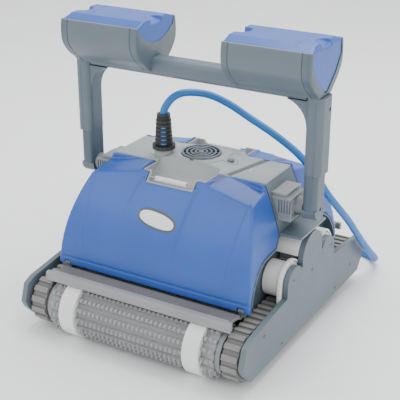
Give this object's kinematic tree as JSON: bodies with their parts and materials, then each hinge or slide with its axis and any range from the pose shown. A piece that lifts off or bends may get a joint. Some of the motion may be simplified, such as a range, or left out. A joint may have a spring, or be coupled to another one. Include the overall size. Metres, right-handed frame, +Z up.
{
  "type": "robotic pool cleaner",
  "caption": "Tracked robotic pool cleaner with hinged filter covers, ribbed brushes with climbing rings, side belts, a tall handle carrying two floats and a floating cable.",
  "frame": {"origin": "on the floor midway between the four climbing rings", "axes": "+X to the cleaner's right side panel, -Y to its front cover, +Z up"},
  "size_m": [0.5866, 0.8785, 0.517],
  "materials": {
    "blue_shell": "glossy moulded plastic",
    "grey_cap": "satin moulded plastic",
    "slate_plastic": "satin moulded plastic",
    "dark_plastic": "fine grain moulded plastic",
    "hub_grey": "moulded plastic",
    "bumper_grey": "moulded plastic",
    "belt_rubber": "moulded rubber",
    "brush_rubber": "moulded rubber",
    "ring_foam": "moulded foam rubber",
    "roller_white": "moulded plastic",
    "filter_white": "pleated filter cloth in a plastic frame",
    "steel": "stainless",
    "cable_blue": "smooth floating cable jacket",
    "boot_black": "moulded rubber"
  },
  "bodies": {
    "chassis": {"tub": "dark_plastic", "side_wall_left": "slate_plastic", "side_wall_right": "slate_plastic", "hub_housing_left": "hub_grey", "hub_housing_right": "hub_grey", "pivot_pins": "steel", "motor_unit": "dark_plastic", "pump_duct": "dark_plastic", "filter_front": "filter_white", "filter_rear": "filter_white", "top_cap": "grey_cap", "outlet_grille": "slate_plastic", "bumper_front": "bumper_grey", "bumper_rear": "bumper_grey", "side_panel_left": "slate_plastic", "side_panel_right": "slate_plastic", "panel_screws": "steel", "belt_left": "belt_rubber", "belt_right": "belt_rubber", "belt_guides": "dark_plastic", "belt_guard_left": "roller_white", "belt_guard_right": "roller_white", "roller_pins": "steel", "cable_stub": "grey_cap", "strain_relief": "boot_black", "cable": "cable_blue", "cable_coil": "cable_blue", "cable_plug": "boot_black"},
    "front_brush_set": {"brush_front": "brush_rubber", "rings_front": "ring_foam", "hubs_front": "hub_grey", "axle_front": "steel"},
    "rear_brush_set": {"brush_rear": "brush_rubber", "rings_rear": "ring_foam", "hubs_rear": "hub_grey", "axle_rear": "steel"},
    "drive_left": {"pulley_left": "dark_plastic", "drive_shaft_left": "steel"},
    "roller_front_left": {"roller_front_left": "roller_white"},
    "roller_rear_left": {"roller_rear_left": "roller_white"},
    "drive_right": {"pulley_right": "dark_plastic", "drive_shaft_right": "steel"},
    "roller_front_right": {"roller_front_right": "roller_white"},
    "roller_rear_right": {"roller_rear_right": "roller_white"},
    "impeller": {"impeller": "roller_white"},
    "flap_front": {"flap_front": "dark_plastic"},
    "flap_rear": {"flap_rear": "dark_plastic"},
    "front_cover": {"front_cover": "blue_shell"},
    "rear_cover": {"rear_cover": "blue_shell"},
    "front_latch": {"front_latch": "roller_white"},
    "rear_latch": {"rear_latch": "roller_white"},
    "cap_button": {"cap_button": "slate_plastic"},
    "handle": {"leg_left": "slate_plastic", "leg_right": "slate_plastic", "crossbar": "slate_plastic", "float_shell_left": "slate_plastic", "float_shell_right": "slate_plastic", "float_left": "blue_shell", "float_right": "blue_shell"}
  },
  "joints": [
    {"name": "front_brush_spin", "type": "hinge", "parent": "chassis", "child": "front_brush_set", "pos_m": [0, -0.196, 0.05], "axis": [1, 0, 0], "continuous": true},
    {"name": "rear_brush_spin", "type": "hinge", "parent": "chassis", "child": "rear_brush_set", "pos_m": [0, 0.196, 0.05], "axis": [1, 0, 0], "continuous": true},
    {"name": "drive_spin_left", "type": "hinge", "parent": "chassis", "child": "drive_left", "pos_m": [-0.185, 0, 0.152], "axis": [1, 0, 0], "continuous": true},
    {"name": "roller_front_left_spin", "type": "hinge", "parent": "chassis", "child": "roller_front_left", "pos_m": [-0.185, -0.066, 0.126], "axis": [1, 0, 0], "continuous": true},
    {"name": "roller_rear_left_spin", "type": "hinge", "parent": "chassis", "child": "roller_rear_left", "pos_m": [-0.185, 0.066, 0.126], "axis": [1, 0, 0], "continuous": true},
    {"name": "drive_spin_right", "type": "hinge", "parent": "chassis", "child": "drive_right", "pos_m": [0.185, 0, 0.152], "axis": [1, 0, 0], "continuous": true},
    {"name": "roller_front_right_spin", "type": "hinge", "parent": "chassis", "child": "roller_front_right", "pos_m": [0.185, -0.066, 0.126], "axis": [1, 0, 0], "continuous": true},
    {"name": "roller_rear_right_spin", "type": "hinge", "parent": "chassis", "child": "roller_rear_right", "pos_m": [0.185, 0.066, 0.126], "axis": [1, 0, 0], "continuous": true},
    {"name": "impeller_spin", "type": "hinge", "parent": "chassis", "child": "impeller", "pos_m": [0, 0, 0.185], "axis": [0, 0, 1], "continuous": true},
    {"name": "front_flap_swing", "type": "hinge", "parent": "chassis", "child": "flap_front", "pos_m": [0, -0.066, 0.027], "axis": [-1, 0, 0], "range_deg": [0, 60]},
    {"name": "rear_flap_swing", "type": "hinge", "parent": "chassis", "child": "flap_rear", "pos_m": [0, 0.066, 0.027], "axis": [1, 0, 0], "range_deg": [0, 60]},
    {"name": "front_cover_open", "type": "hinge", "parent": "chassis", "child": "front_cover", "pos_m": [0, -0.165, 0.109], "axis": [1, 0, 0], "range_deg": [0, 65]},
    {"name": "rear_cover_open", "type": "hinge", "parent": "chassis", "child": "rear_cover", "pos_m": [0, 0.165, 0.109], "axis": [-1, 0, 0], "range_deg": [0, 65]},
    {"name": "front_latch_slide", "type": "slide", "parent": "chassis", "child": "front_latch", "axis": [1, 0, 0], "range_m": [0, 0.01]},
    {"name": "rear_latch_slide", "type": "slide", "parent": "chassis", "child": "rear_latch", "axis": [1, 0, 0], "range_m": [0, 0.01]},
    {"name": "button_press", "type": "slide", "parent": "chassis", "child": "cap_button", "axis": [0, 0, -1], "range_m": [0, 0.0015], "stiffness_N_per_m": 400, "springref_m": -0.0005},
    {"name": "handle_tilt", "type": "hinge", "parent": "chassis", "child": "handle", "pos_m": [0, -0.015, 0.24], "axis": [1, 0, 0], "range_deg": [0, 25]}
  ],
  "couplings": [
    {"joint": "rear_brush_spin", "follows": "front_brush_spin", "ratio": 1},
    {"joint": "drive_spin_left", "follows": "front_brush_spin", "ratio": 1.0925},
    {"joint": "roller_front_left_spin", "follows": "front_brush_spin", "ratio": -1.0139},
    {"joint": "roller_rear_left_spin", "follows": "front_brush_spin", "ratio": -1.0139},
    {"joint": "drive_spin_right", "follows": "front_brush_spin", "ratio": 1.0925},
    {"joint": "roller_front_right_spin", "follows": "front_brush_spin", "ratio": -1.0139},
    {"joint": "roller_rear_right_spin", "follows": "front_brush_spin", "ratio": -1.0139}
  ]
}
